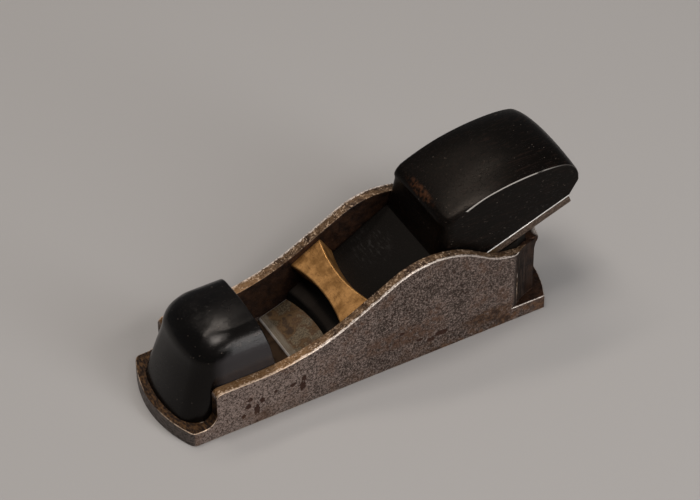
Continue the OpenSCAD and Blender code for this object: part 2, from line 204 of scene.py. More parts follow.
bpy.ops.mesh.select_mode(type="EDGE")
bpy.ops.mesh.select_all(action="DESELECT")
bpy.ops.mesh.edges_select_sharp(sharpness=math.radians(30))
keep_picked(shoe, handled_edge)
bpy.ops.mesh.bevel(offset=RUBBED_R * MM, segments=2, clamp_overlap=False, material=1)
mark_worn(shoe)
smooth(shoe, 32)
keep_flats_flat(shoe)


def new_finish(name):
    """A new material, with its node tree, surface shader and the place on the object in millimetres."""
    material = bpy.data.materials.new(name)
    material.use_nodes = True
    tree = material.node_tree
    coordinates = tree.nodes.new("ShaderNodeTexCoord")
    in_mm = tree.nodes.new("ShaderNodeVectorMath")
    in_mm.operation = "SCALE"
    in_mm.inputs["Scale"].default_value = 1 / MM
    tree.links.new(coordinates.outputs["Object"], in_mm.inputs[0])
    return material, tree, tree.nodes["Principled BSDF"], in_mm.outputs[0]


def put(tree, socket, value):
    """Links a node's output to a socket, or writes a plain number or colour into it."""
    if isinstance(value, bpy.types.NodeSocket):
        tree.links.new(value, socket)
    elif isinstance(value, (tuple, list)):
        socket.default_value = (*value, 1.0)[: len(socket.default_value)]
    else:
        socket.default_value = value


def mottle(tree, place, size, stretch=(1, 1, 1), detail=4.0, shift=0.0):
    """Cloudy variation in patches about size millimetres across, drawn out along the stretch."""
    mapping = tree.nodes.new("ShaderNodeMapping")
    mapping.inputs["Location"].default_value = (shift, shift * 0.7, shift * 1.3)
    mapping.inputs["Scale"].default_value = [1 / (size * s) for s in stretch]
    noise = tree.nodes.new("ShaderNodeTexNoise")
    noise.inputs["Scale"].default_value = 1.0
    noise.inputs["Detail"].default_value = detail
    noise.inputs["Roughness"].default_value = 0.6
    tree.links.new(place, mapping.inputs["Vector"])
    tree.links.new(mapping.outputs[0], noise.inputs["Vector"])
    return noise.outputs["Fac"]


def rising(tree, value, low, high, least=0.0, most=1.0):
    """Goes softly from least to most as the value goes from low to high."""
    step = tree.nodes.new("ShaderNodeMapRange")
    step.interpolation_type = "SMOOTHSTEP"
    put(tree, step.inputs["Value"], value)
    for name, number in zip(("From Min", "From Max", "To Min", "To Max"), (low, high, least, most)):
        step.inputs[name].default_value = number
    return step.outputs[0]


def worked_out(tree, operation, first, second=0.0):
    node = tree.nodes.new("ShaderNodeMath")
    node.operation = operation
    put(tree, node.inputs[0], first)
    put(tree, node.inputs[1], second)
    return node.outputs[0]


def joined(tree, operation, shares):
    total = shares[0]
    for share in shares[1:]:
        total = worked_out(tree, operation, total, share)
    return total


def both(tree, *shares):
    """Strong only where every share is strong."""
    return joined(tree, "MULTIPLY", shares)


def either(tree, *shares):
    """As strong as the strongest share."""
    return joined(tree, "MAXIMUM", shares)


def added(tree, *shares):
    return joined(tree, "ADD", shares)


def laid_over(tree, share, under, over):
    """The colour over laid on the colour under, as thick as the share says."""
    mix = tree.nodes.new("ShaderNodeMix")
    mix.data_type = "RGBA"
    put(tree, mix.inputs["Factor"], share)
    put(tree, mix.inputs["A"], under)
    put(tree, mix.inputs["B"], over)
    return mix.outputs["Result"]


def axes_of(tree, vector):
    split = tree.nodes.new("ShaderNodeSeparateXYZ")
    tree.links.new(vector, split.inputs[0])
    return split.outputs[0], split.outputs[1], split.outputs[2]


def facing(tree):
    """The object's own surface direction, as three numbers."""
    coordinates = tree.nodes.new("ShaderNodeTexCoord")
    return axes_of(tree, coordinates.outputs["Normal"])


def worn_edges(tree):
    attribute = tree.nodes.new("ShaderNodeAttribute")
    attribute.attribute_name = "worn"
    return attribute.outputs["Fac"]


def rough_skin(tree, surface, height, depth):
    """Bump of a few hundredths of a millimetre."""
    bump = tree.nodes.new("ShaderNodeBump")
    bump.inputs["Strength"].default_value = 1.0
    bump.inputs["Distance"].default_value = depth * MM
    tree.links.new(height, bump.inputs["Height"])
    tree.links.new(bump.outputs[0], surface.inputs["Normal"])


def near_spot(tree, place, spot, reach):
    """1 at a spot in millimetres, falling to 0 at its reach along each axis."""
    mapping = tree.nodes.new("ShaderNodeMapping")
    mapping.vector_type = "TEXTURE"
    mapping.inputs["Location"].default_value = spot
    mapping.inputs["Scale"].default_value = reach
    length = tree.nodes.new("ShaderNodeVectorMath")
    length.operation = "LENGTH"
    tree.links.new(place, mapping.inputs["Vector"])
    tree.links.new(mapping.outputs[0], length.inputs[0])
    return rising(tree, length.outputs["Value"], 1.0, 0.4)


worn_iron, tree, surface, place = new_finish("worn_iron")
along, across, up = axes_of(tree, place)
aside = worked_out(tree, "ABSOLUTE", across)
to_heel, to_side, to_top = facing(tree)
fine = mottle(tree, place, 0.45, detail=5)
specks = mottle(tree, place, 0.5, detail=4, shift=5)
patch = mottle(tree, place, 1.5, detail=4, shift=37)
blotch = mottle(tree, place, 2.4, detail=5, shift=11)
cloud = mottle(tree, place, 7, detail=5, shift=3)

# The filed outside is uneven at three scales, a little paler toward the toe, with a brown haze and specks.
uneven = added(tree, fine, both(tree, cloud, 0.3), both(tree, patch, 0.2),
               rising(tree, along, 10, -40, -0.035, 0.06))
skin = laid_over(tree, rising(tree, uneven, 0.57, 0.95), DIRTY_IRON, FILED_IRON)
haze = either(tree, near_spot(tree, place, *HAZE_SPOT), rising(tree, cloud, 0.5, 0.66))
haze = both(tree, haze, rising(tree, patch, 0.36, 0.58, 0, 0.85))
skin = laid_over(tree, haze, skin, BROWN_HAZE)
skin = laid_over(tree, rising(tree, specks, 0.54, 0.61, 0, 0.65), skin, DARK_SPECK)

# Rust sits in pits on the near wall, along the foot of both walls and in a stain near the heel.
pits = either(tree, *[near_spot(tree, place, (x, -WALL_OUT, z), (reach_x, 1, reach_z))
                      for x, z, reach_x, reach_z in PITS])
pits = added(tree, pits, both(tree, mottle(tree, place, 0.7, detail=6, shift=8), 4.0))
pits = rising(tree, pits, 2.2, 2.5)
skin = laid_over(tree, both(tree, pits, 0.95), skin, PIT_RUST)
at_foot = both(tree, rising(tree, up, 6.0, 2.0), rising(tree, cloud, 0.42, 0.56),
               rising(tree, along, 8, 26, 0.35, 1))
at_heel = both(tree, near_spot(tree, place, *HEEL_STAIN), rising(tree, patch, 0.36, 0.5))
foot_rust = laid_over(tree, rising(tree, patch, 0.4, 0.6), *FOOT_RUST)
skin = laid_over(tree, both(tree, either(tree, at_foot, at_heel), 0.85), skin, foot_rust)

# The inside of the walls, the toe ledge and the open floor at the heel are brown all over.
inside = both(tree, rising(tree, aside, WALL_IN + 0.12, WALL_IN - 0.02),
              rising(tree, up, PLATE_T, PLATE_T + 0.3))
heel_floor = both(tree, rising(tree, to_top, 0.5, 0.8), rising(tree, up, PLATE_T + 0.4, PLATE_T + 0.1),
                  rising(tree, along, 38, 42))
inside_rust = laid_over(tree, rising(tree, blotch, 0.3, 0.7), *INSIDE_RUST)
ledge = both(tree, rising(tree, up, PLATE_T - 0.25, PLATE_T - 0.05), rising(tree, along, -40, -43.6),
             rising(tree, worked_out(tree, "ABSOLUTE", to_side), 0.6, 0.3), rising(tree, up, 13.5, 12))
bow_streaks = mottle(tree, place, 0.6, stretch=(1, 2.4, 1), detail=5, shift=27)
ledge_rust = laid_over(tree, rising(tree, bow_streaks, 0.4, 0.68), *LEDGE_RUST)
colour = laid_over(tree, inside, skin, inside_rust)
colour = laid_over(tree, ledge, colour, ledge_rust)
colour = laid_over(tree, heel_floor, colour, inside_rust)

# The toe's end shows the grinding across it, in dark colours that also hold painted shade on this end, which
# faces away from the lamps, and the cove at the heel is dark with upright streaks of rust and painted shade.
shaded_toe_end = both(tree, rising(tree, to_heel, -0.3, -0.6), rising(tree, up, PLATE_T, PLATE_T - 0.3))
grinding = mottle(tree, place, 0.35, stretch=(1, 9, 1), detail=3, shift=33)
ground_toe_and_shade = laid_over(tree, rising(tree, grinding, 0.35, 0.62), *GROUND_TOE_AND_SHADE)
colour = laid_over(tree, shaded_toe_end, colour, ground_toe_and_shade)
# The heel cove's colour is partly rust streaks and partly painted shade, darkening the recess and its
# rounded corner where a lamp would light it.
heel_cove = both(tree, rising(tree, to_heel, 0.05, 0.5), rising(tree, along, 40, 41),
                 rising(tree, up, PLATE_T, PLATE_T + 0.3))
streaks = mottle(tree, place, 0.7, stretch=(1, 1, 5), detail=5, shift=21)
cove_rust_and_shade = laid_over(tree, rising(tree, streaks, 0.36, 0.66), *COVE_RUST_AND_SHADE)
colour = laid_over(tree, heel_cove, colour, cove_rust_and_shade)

# The tops of the walls are brown with pale specks, golden toward the toe, and bright along the outer edge,
# where the pale colour of worn metal also serves as a painted highlight.
wall_top = both(tree, rising(tree, to_top, 0.4, 0.62), rising(tree, up, 6, 8),
                rising(tree, aside, 12.7, 12.9))
top_rust = laid_over(tree, rising(tree, blotch, 0.35, 0.62), *TOP_RUST)
top_rust = laid_over(tree, rising(tree, along, -8, -26, 0, 0.55), top_rust, TOP_GOLDEN)
# The pale specks on the wall tops are partly real flecks and partly painted glints.
pale_specks_and_glints = both(tree, rising(tree, specks, 0.5, 0.58, 0, 0.8), rising(tree, patch, 0.46, 0.6, 0.15, 1))
top_rust = laid_over(tree, pale_specks_and_glints, top_rust, TOP_SPECK_AND_GLINT)
colour = laid_over(tree, wall_top, colour, top_rust)
bright_wear_and_highlight = laid_over(tree, rising(tree, fine, 0.3, 0.62), *BRIGHT_WEAR_AND_HIGHLIGHT)
bright_wear_and_highlight = laid_over(tree, rising(tree, along, -8, -28, 0, 0.6), bright_wear_and_highlight, GOLDEN_WEAR_AND_HIGHLIGHT)
outer_wear_and_highlight = both(tree, rising(tree, added(tree, aside, both(tree, blotch, 1.6)), 15.95, 16.25),
                  rising(tree, specks, 0.36, 0.5))
colour = laid_over(tree, both(tree, wall_top, outer_wear_and_highlight), colour, bright_wear_and_highlight)

# Handling has rubbed the outer rims bright, in scuffs, and the two tips of the lip; the same pale colour
# also serves as a painted highlight on these rims and tips.
scuffed = rising(tree, mottle(tree, place, 1.8, detail=5, shift=31), 0.32, 0.5)
on_rim = either(tree, rising(tree, aside, 14.6, 14.8), rising(tree, up, PLATE_T + 0.1, PLATE_T),
                both(tree, rising(tree, along, 50.4, 50.8), 0.8))
on_rim = both(tree, on_rim, rising(tree, along, -49.9, -47, 0.5, 1),
              rising(tree, along, *HEEL_COVE_X, 1, 0.65))
level = rising(tree, worked_out(tree, "ABSOLUTE", to_top), 0.1, 0.4)
colour = laid_over(tree, both(tree, worn_edges(tree), on_rim, scuffed, level), colour, bright_wear_and_highlight)
for side in (-1, 1):
    lip_tip_wear_and_glint = near_spot(tree, place, (LIP_TIP[0], side * LIP_TIP[1], LIP_TIP[2]), LIP_TIP_REACH)
    colour = laid_over(tree, lip_tip_wear_and_glint, colour, bright_wear_and_highlight)
put(tree, surface.inputs["Base Color"], colour)
put(tree, surface.inputs["Metallic"], 0.6)
dull = either(tree, heel_cove, both(tree, inside, 0.7))
put(tree, surface.inputs["Roughness"],
    either(tree, rising(tree, specks, 0.35, 0.65, 0.36, 0.62), both(tree, dull, 0.8)))
put(tree, surface.inputs["Specular IOR Level"], 0.3)
height = worked_out(tree, "SUBTRACT", both(tree, fine, 0.25), rising(tree, specks, 0.55, 0.66, 0, 0.4))
height = worked_out(tree, "SUBTRACT", height, pits)
rough_skin(tree, surface, height, 0.06)
shoe.data.materials.append(worn_iron)
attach(shoe, "plane_body")
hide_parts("shoe")

# Front bun
# A block of ebony screwed down behind the toe, arched across, its bowed front leaning back to a round nose.
# It is the handle for the finger and thumb, and the polish of the years shows in long soft highlights.
GAP = 0.03  # stands for the bearing contact between neighbouring pieces
BUN_BASE = PLATE_T + GAP
BUN_HALF = 12.94
BUN_REAR = -23.65
BUN_REAR_LEAN = 0.2
BUN_FRONT = -51.9
BUN_FRONT_LEAN = 0.35
BUN_SIDE_X = (BUN_REAR, -34.0, -38.0, -40.8, -42.6, -44.4)
BUN_CORNER_R = 6.0
BUN_TOP = 26.4
BUN_CROWN = 0.5
BUN_ARCH_R = 6.4
BUN_ARCH_Z = BUN_TOP - BUN_CROWN - BUN_ARCH_R
BUN_NOSE_Z = 18.6
BUN_NOSE_LEN = 13.0
NOSE_RISE_POWER = 1.1
NOSE_REACH_POWER = 0.9
NOSE_NARROWING = 0.17
NOSE_START_X = -40.0
NARROWING_Z = (4.0, 22.0)
NARROWING_REACH = (0.57, 0.98)
BUN_EDGE_R = 0.45
BLACK_WOOD = (0.0016, 0.0012, 0.001)
BROWN_CLOUD = (0.004, 0.0024, 0.0018)
PALE_FLECK = (0.12, 0.095, 0.078)
BUN_DENT = (0.05, 0.036, 0.028)
BUN_BLOOM_AND_SHEEN = (0.036, 0.032, 0.033)
LONG_DENT = ((-33.5, -10.2, 23.5), (3.4, 3, 0.7))
SHORT_DENT = ((-29.5, -9.6, 24.2), (1.6, 3, 0.5))


def arc(centre, radius, first, last, steps):
    """Points on a round stretch from one angle to another, in degrees."""
    turns = [math.radians(first + (last - first) * i / steps) for i in range(steps + 1)]
    return [(centre[0] + radius * math.cos(turn), centre[1] + radius * math.sin(turn)) for turn in turns]


def eased(share, start, end):
    """Goes from 0 to 1 between start and end, with a soft start and a soft end."""
    part = min(1.0, max(0.0, (share - start) / (end - start)))
    return part * part * (3 - 2 * part)


def draw_outline(name, corners):
    """Draws a closed flat outline, corner by corner, by extruding a point, and fills it with one face."""
    places = [Vector(corner) * MM for corner in corners]
    to_object_mode()
    bpy.ops.object.select_all(action="DESELECT")
    bpy.ops.mesh.primitive_plane_add(size=MM, location=places[0])
    piece = bpy.context.object
    piece.name = name
    piece.data.name = name
    two_empty_slots(piece)
    bpy.ops.object.transform_apply(location=True, rotation=True, scale=True)
    bpy.ops.object.mode_set(mode="EDIT")
    bpy.ops.mesh.select_mode(type="VERT")
    bpy.ops.mesh.select_all(action="SELECT")
    bpy.ops.mesh.merge(type="CENTER")
    for here, there in zip(places, places[1:]):
        bpy.ops.mesh.extrude_vertices_move(TRANSFORM_OT_translate={"value": there - here})
    bpy.ops.mesh.select_all(action="SELECT")
    bpy.ops.mesh.edge_face_add()
    return piece


def raise_face(move):
    bpy.ops.mesh.extrude_region_move(TRANSFORM_OT_translate={"value": Vector(move) * MM})


def size_about(centre, factors):
    bpy.ops.transform.resize(value=factors, center_override=Vector(centre) * MM)


def close_up(piece):
    """Merges what meets and turns every face outwards."""
    bpy.ops.mesh.select_all(action="SELECT")
    bpy.ops.mesh.remove_doubles(threshold=0.001 * MM)
    bpy.ops.mesh.normals_make_consistent(inside=False)
    bpy.ops.mesh.select_all(action="DESELECT")


def bun_level(z):
    """Front, rear and half width of the bun at a height, and how much its nose is narrowed there."""
    rise = z - BUN_BASE
    front = BUN_FRONT + BUN_FRONT_LEAN * min(rise, BUN_NOSE_Z - BUN_BASE)
    if z > BUN_NOSE_Z:
        turned = math.acos(min(1.0, ((z - BUN_NOSE_Z) / (BUN_TOP - BUN_NOSE_Z)) ** NOSE_RISE_POWER))
        front += BUN_NOSE_LEN * (1 - math.sin(turned) ** NOSE_REACH_POWER)
    flat = BUN_HALF - BUN_ARCH_R
    half = BUN_HALF
    if z > BUN_TOP - BUN_CROWN:
        half = flat * math.sqrt((BUN_TOP - z) / BUN_CROWN)
    elif z > BUN_ARCH_Z:
        half = flat + math.sqrt(BUN_ARCH_R ** 2 - (z - BUN_ARCH_Z) ** 2)
    return front, BUN_REAR - BUN_REAR_LEAN * rise, half, 1 - NOSE_NARROWING * eased(z, *NARROWING_Z)


def on_bun_rear(corners):
    return all(abs(p.x - (BUN_REAR - BUN_REAR_LEAN * (p.z - BUN_BASE))) < 0.01 for p in corners)


bow_x = BUN_FRONT + BOW_R
corner_y = BUN_HALF - BUN_CORNER_R
corner_x = bow_x - math.sqrt((BOW_R - BUN_CORNER_R) ** 2 - corner_y ** 2)
bow_turn = math.degrees(math.asin(corner_y / (BOW_R - BUN_CORNER_R)))
bun_plan = [(x, -BUN_HALF) for x in BUN_SIDE_X]
bun_plan += arc((corner_x, -corner_y), BUN_CORNER_R, 270, 180 + bow_turn, 7)
bun_plan += arc((bow_x, 0), BOW_R, 180 + bow_turn, 180 - bow_turn, 8)[1:-1]
bun_plan += arc((corner_x, corner_y), BUN_CORNER_R, 180 - bow_turn, 90, 7)
bun_plan += [(x, BUN_HALF) for x in reversed(BUN_SIDE_X)]
nose_places = sorted({(x - BUN_REAR) / (BUN_FRONT - BUN_REAR) for x, y in bun_plan
                      if x < NOSE_START_X and y < -0.01})
bun_levels = [BUN_BASE, 7.5, 11.0, 14.5, BUN_ARCH_Z - 2.0]
bun_levels += [z for y, z in arc((0, BUN_ARCH_Z), BUN_ARCH_R, 0, 84, 14)]
bun_levels += [BUN_TOP - BUN_CROWN * share for share in (0.94, 0.75, 0.5, 0.28, 0.12, 0.03, 0)]
bun = draw_outline("front_bun_of_ebony", [(x, y, BUN_BASE) for x, y in bun_plan])
for below, above in zip(bun_levels, bun_levels[1:]):
    old_front, old_rear, old_half, old_nose = bun_level(below)
    new_front, new_rear, new_half, new_nose = bun_level(above)
    raise_face((new_rear - old_rear, 0, above - below))
    longer = (new_rear - new_front) / (old_rear - old_front)
    size_about((new_rear, 0, above), (longer, new_half / old_half, 1))
    for reach in nose_places:
        nose_x = new_rear + reach * (new_front - new_rear)
        pick(bun, "VERT", lambda at: abs(at[0].z - above) < 0.001 and abs(at[0].x - nose_x) < 0.003)
        size_about((nose_x, 0, above), (1, (new_nose / old_nose) ** eased(reach, *NARROWING_REACH), 1))
    pick(bun, "FACE", lambda corners: all(abs(p.z - above) < 0.001 for p in corners))
close_up(bun)
pick(bun, "FACE", on_bun_rear)
bpy.ops.mesh.dissolve_faces()
pick(bun, "EDGE", lambda ends: on_bun_rear(ends) and ends[0].z + ends[1].z > 2 * BUN_BASE + 0.1)
bpy.ops.mesh.bevel(offset=BUN_EDGE_R * MM, segments=3, clamp_overlap=False)
to_object_mode()
bun.data.materials.clear()
smooth(bun, 40)
keep_flats_flat(bun)


def ebony(name, lightest, streak_share, roughness, grain_depth, gloss, tint):
    """Near-black wood with fine lengthwise streaks, short open pores and a few pale flecks."""
    material, tree, surface, place = new_finish(name)
    streaks = mottle(tree, place, 0.4, stretch=(14, 1, 1), detail=4, shift=2)
    clouds = mottle(tree, place, 6, stretch=(2, 1, 1), detail=3, shift=9)
    pores = mottle(tree, place, 0.22, stretch=(7, 1, 1), detail=1, shift=14)
    flecks = mottle(tree, place, 0.36, stretch=(1.6, 1, 1), detail=0, shift=23)
    streaked = both(tree, rising(tree, streaks, 0.52, 0.74), streak_share)
    colour = laid_over(tree, streaked, BLACK_WOOD, lightest)
    colour = laid_over(tree, rising(tree, clouds, 0.45, 0.75, 0, 0.25), colour, BROWN_CLOUD)
    colour = laid_over(tree, rising(tree, flecks, 0.83, 0.86, 0, 0.7), colour, PALE_FLECK)
    height = worked_out(tree, "SUBTRACT", both(tree, streaks, 0.4), rising(tree, pores, 0.62, 0.74))
    put(tree, surface.inputs["Roughness"],
        rising(tree, clouds, 0.3, 0.7, roughness - 0.04, roughness + 0.08))
    put(tree, surface.inputs["Specular IOR Level"], gloss)
    put(tree, surface.inputs["Specular Tint"], tint)
    rough_skin(tree, surface, height, grain_depth)
    return material, tree, surface, place, colour


polished_ebony, tree, surface, place, colour = ebony(
    "polished_ebony", lightest=(0.009, 0.006, 0.0045), streak_share=0.3, roughness=0.2, grain_depth=0.01,
    gloss=0.2, tint=(1, 0.95, 0.92))
along = axes_of(tree, place)[0]
to_side = facing(tree)[1]
dents = either(tree, near_spot(tree, place, *LONG_DENT), near_spot(tree, place, *SHORT_DENT))
dents = both(tree, dents, rising(tree, mottle(tree, place, 0.7, detail=3, shift=6), 0.45, 0.6))
colour = laid_over(tree, both(tree, dents, 0.5), colour, BUN_DENT)
# Both sides of the bun's nose get a dull grey bloom of wear that also serves as a painted sheen on the
# sides.
bloom_and_sheen = both(tree, rising(tree, worked_out(tree, "ABSOLUTE", to_side), 0.8, 0.96),
             rising(tree, along, -43, -39))
colour = laid_over(tree, both(tree, bloom_and_sheen, 0.75), colour, BUN_BLOOM_AND_SHEEN)
put(tree, surface.inputs["Base Color"], colour)
bun.data.materials.append(polished_ebony)
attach(bun, "plane_body")
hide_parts("front_bun")

# Bed block
# The ebony block that fills the shoe behind the mouth. Its top is planed to the slope that carries the iron.
# Only a dark strip of it shows, under the iron's end behind the walls.
dull_ebony, tree, surface, place, colour = ebony(
    "dull_ebony", lightest=(0.014, 0.009, 0.007), streak_share=0.3, roughness=0.5, grain_depth=0.02,
    gloss=0.15, tint=(1, 0.9, 0.8))
put(tree, surface.inputs["Base Color"], colour)
bed_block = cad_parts["bed_block"]
bed_block.material_slots[0].material = dull_ebony

# Iron
# A plain flat cutter of aged steel, laid on the bed with its ground side up, its end cut square.
# Rust has browned and speckled it in the throat, with painted shade on its ground bevel; its long edges are
# worn bright where it stands out behind and carry a painted highlight.
BED_TURN = 20.4
BED_X = -21.7
GRIND_TURN = BED_TURN + 23
EDGE_LIFT = 0.1
IRON_T = 2.4
IRON_HALF = 12.7
IRON_LEN = 84.6
IRON_EDGE_R = 0.3
bed_slope = math.tan(math.radians(BED_TURN))
iron_drop = IRON_T / math.cos(math.radians(BED_TURN))
EDGE_X = BED_X + EDGE_LIFT / bed_slope
GRIND_END = EDGE_X + iron_drop / (math.tan(math.radians(GRIND_TURN)) - bed_slope)
IRON_END = EDGE_X + IRON_LEN * math.cos(math.radians(BED_TURN))
AGED_STEEL = ((0.048, 0.034, 0.02), (0.125, 0.096, 0.06))
OCHRE_STAIN = (0.082, 0.042, 0.013)
STAIN_RING = (0.045, 0.019, 0.007)
STAIN_HEART = (0.026, 0.014, 0.008)
CLEAN_STRIP = (0.135, 0.114, 0.086)
GROUND_RUST_AND_SHADE = ((0.03, 0.017, 0.01), (0.06, 0.034, 0.018))
SIDE_RUST = ((0.045, 0.026, 0.017), (0.15, 0.105, 0.078))
WORN_STEEL_AND_HIGHLIGHT = (0.98, 0.95, 0.92)


def bed_z(x):
    return (x - BED_X) * bed_slope


end_low = IRON_END + IRON_T * math.sin(math.radians(BED_TURN))
iron_side = [(EDGE_X, bed_z(EDGE_X)), (end_low, bed_z(end_low)), (IRON_END, bed_z(IRON_END) + iron_drop),
             (GRIND_END, bed_z(GRIND_END) + iron_drop)]
iron = draw_outline("cutting_iron", [(x, -IRON_HALF, z) for x, z in iron_side])
raise_face((0, 2 * IRON_HALF, 0))
close_up(iron)
pick(iron, "EDGE", lambda ends: max(p.x for p in ends) > EDGE_X + 0.5)
bpy.ops.mesh.bevel(offset=IRON_EDGE_R * MM, segments=2, clamp_overlap=False, material=1)
mark_worn(iron)
smooth(iron, 30)
keep_flats_flat(iron)

aged_steel, tree, surface, place = new_finish("aged_steel")
along, across, up = axes_of(tree, place)
to_top = facing(tree)[2]
speckle = mottle(tree, place, 0.4, detail=4)
blotch = mottle(tree, place, 4.0, detail=3, shift=19)
drag = mottle(tree, place, 0.5, stretch=(1, 8, 1), detail=3, shift=4)
colour = laid_over(tree, rising(tree, speckle, 0.38, 0.62), *AGED_STEEL)
colour = laid_over(tree, rising(tree, blotch, 0.39, 0.55, 0, 0.8), colour, OCHRE_STAIN)
ring = rising(tree, worked_out(tree, "ABSOLUTE", worked_out(tree, "SUBTRACT", blotch, 0.5)), 0.045, 0.0)
colour = laid_over(tree, both(tree, ring, 0.6), colour, STAIN_RING)
colour = laid_over(tree, rising(tree, blotch, 0.58, 0.66, 0, 0.8), colour, STAIN_HEART)
strip = both(tree, rising(tree, along, GRIND_END + 2.2, GRIND_END + 1.4),
             rising(tree, drag, 0.3, 0.6, 0.4, 0.9))
colour = laid_over(tree, strip, colour, CLEAN_STRIP)
# Faces of the iron that do not face up, toward its cutting end, are rusty brown and darkened further as
# painted shade.
shaded_ground_face = both(tree, rising(tree, to_top, 0.9, 0.8), rising(tree, along, 20, 10))
ground_rust_and_shade = laid_over(tree, rising(tree, blotch, 0.4, 0.6), *GROUND_RUST_AND_SHADE)
colour = laid_over(tree, shaded_ground_face, colour, ground_rust_and_shade)
behind = rising(tree, along, 36, 39)
sides = rising(tree, worked_out(tree, "ABSOLUTE", across), IRON_HALF - 0.12, IRON_HALF - 0.02)
side_rust = laid_over(tree, rising(tree, speckle, 0.4, 0.6), *SIDE_RUST)
colour = laid_over(tree, both(tree, behind, sides), colour, side_rust)
# The worn upper edges toward the end are painted near-white: partly bright wear, partly a painted highlight.
rubbed = both(tree, worn_edges(tree), rising(tree, to_top, 0.2, 0.5), rising(tree, along, 30, 36, 0.2, 1.0))
colour = laid_over(tree, rubbed, colour, WORN_STEEL_AND_HIGHLIGHT)
put(tree, surface.inputs["Base Color"], colour)
put(tree, surface.inputs["Metallic"], 0.65)
put(tree, surface.inputs["Roughness"], rising(tree, blotch, 0.35, 0.65, 0.36, 0.6))
rough_skin(tree, surface, added(tree, both(tree, speckle, 0.6), both(tree, blotch, 0.8)), 0.06)
iron.data.materials.append(aged_steel)
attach(iron, "iron")
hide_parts("iron")

# Palm wedge
# One piece of ebony: a thin tongue with a hollow toe, driven between iron and bridge, and a tall palm rest.
# The palm is crowned along and across to fill the hand, crisp along each side and slightly uneven.
WEDGE_HALF = IRON_HALF - 0.25
WEDGE_TOE = -9.1
TOE_LEAN = 0.55
TOE_HOLLOW = 1.6
TONGUE_T = 2.0
TOP_TURN = 31.0
STEP_X = 19.8
PALM_H = 43.5
PALM_LEAN = 0.22
BROW_X = 23.1
BROW_Z = PALM_H - 5.2
BROW_R = 2.6
BROW_POWER = 2.1
PALM_FRONT_X = 21.78
APEX_X = 48.8
BACK_R = 41.0
PALM_END = 60.6
REAR_R = 6.0
REAR_CENTRE = (PALM_END - REAR_R, PALM_H - 6.53)
HEEL_R = 2.0
HEEL_CENTRE = (PALM_END - HEEL_R, PALM_H - 6.7)
CROWN = 1.98
CROWN_FOOT = BROW_Z - BROW_R
NEAR_CROWN_POWER = 2.6
FAR_CROWN_POWER = 3.2
FAR_RISE = 0.4
FRONT_REACH = 34.0
NEAR_FRONT_R = 3.1
FAR_FRONT_R = 1.3
REAR_START = 50.0
REAR_FOOT = 34.0
FAR_REAR_FALL = 0.12
CREASE_START = (27.5, 36.5)
CREASE_R = 0.22
TOP_STEPS = 16
SIDE_STEPS = 22
BROW_RUB = ((22.8, 1.0, 38.6), (1.5, 8, 2.2))
BROW_BROWN = (0.055, 0.022, 0.01)
TONGUE_GREY = (0.004, 0.0036, 0.0033)
TOE_PAINTED_LIGHT = (0.018, 0.014, 0.0115)
TONGUE_SCUFF = ((11.5, 5.5, 21.5), (7, 8, 6))
SCUFF_GREY = (0.03, 0.028, 0.026)
CREASE_HIGHLIGHT = (0.36, 0.33, 0.3)


def wedge_low(x):
    return bed_z(x) + iron_drop + GAP


def wedge_top(x):
    start = WEDGE_TOE + TOE_LEAN
    return wedge_low(start) + TONGUE_T + (x - start) * math.tan(math.radians(TOP_TURN))


def palm_top(x):
    return PALM_H - (PALM_H - BROW_Z) * ((APEX_X - x) / (APEX_X - BROW_X)) ** BROW_POWER


def crown_share(y):
    """How much taller the palm's top is at y than at its near side, as a factor over the crown's foot."""
    power = NEAR_CROWN_POWER if y < 0 else FAR_CROWN_POWER
    crown = CROWN * (1 - abs(y / WEDGE_HALF) ** power) + FAR_RISE * max(0.0, y / WEDGE_HALF) ** 2
    return 1 + crown / (PALM_H - CROWN_FOOT)


def rear_share(y):
    """How far the rounded rear reaches at y, as a factor: it falls back towards the far side."""
    return 1 - FAR_REAR_FALL * max(0.0, y / WEDGE_HALF) ** 2


def corner_fall(y, radius):
    """How far back an upright corner of this radius stands at y."""
    depth = WEDGE_HALF - abs(y)
    return radius - math.sqrt(radius ** 2 - (radius - depth) ** 2) if depth < radius else 0.0


def front_share(y):
    """How far the palm's front still reaches forward at y, as a factor over its whole reach."""
    radius = NEAR_FRONT_R if y < 0 else FAR_FRONT_R
    return 1 - corner_fall(y, radius) / (FRONT_REACH - PALM_FRONT_X)


def toe_back(y):
    """How far back the hollow toe stands at y."""
    return TOE_HOLLOW * (1 - (y / WEDGE_HALF) ** 2)


def set_across(piece, y, test):
    """Selects the corners of the newest cross-section that pass a test on their x and z."""
    pick(piece, "VERT", lambda at: abs(at[0].y - y) < 0.001 and test(at[0].x, at[0].z))


def draw_in_front(piece, y, factor):
    """Draws the palm's front back at y and leaves the tongue and the rest of the palm where they are."""
    set_across(piece, y, lambda x, z: z > wedge_top(STEP_X) - 0.01 and STEP_X - 0.01 < x < FRONT_REACH)
    size_about((FRONT_REACH, y, 0), (factor, 1, 1))


def on_crease(ends):
    """True for the crisp edge between the palm's top and its sides."""
    at_side = all(abs(abs(p.y) - WEDGE_HALF) < 0.001 for p in ends) and ends[0].y * ends[1].y > 0
    return at_side and all(p.x > CREASE_START[0] and p.z > CREASE_START[1] for p in ends)


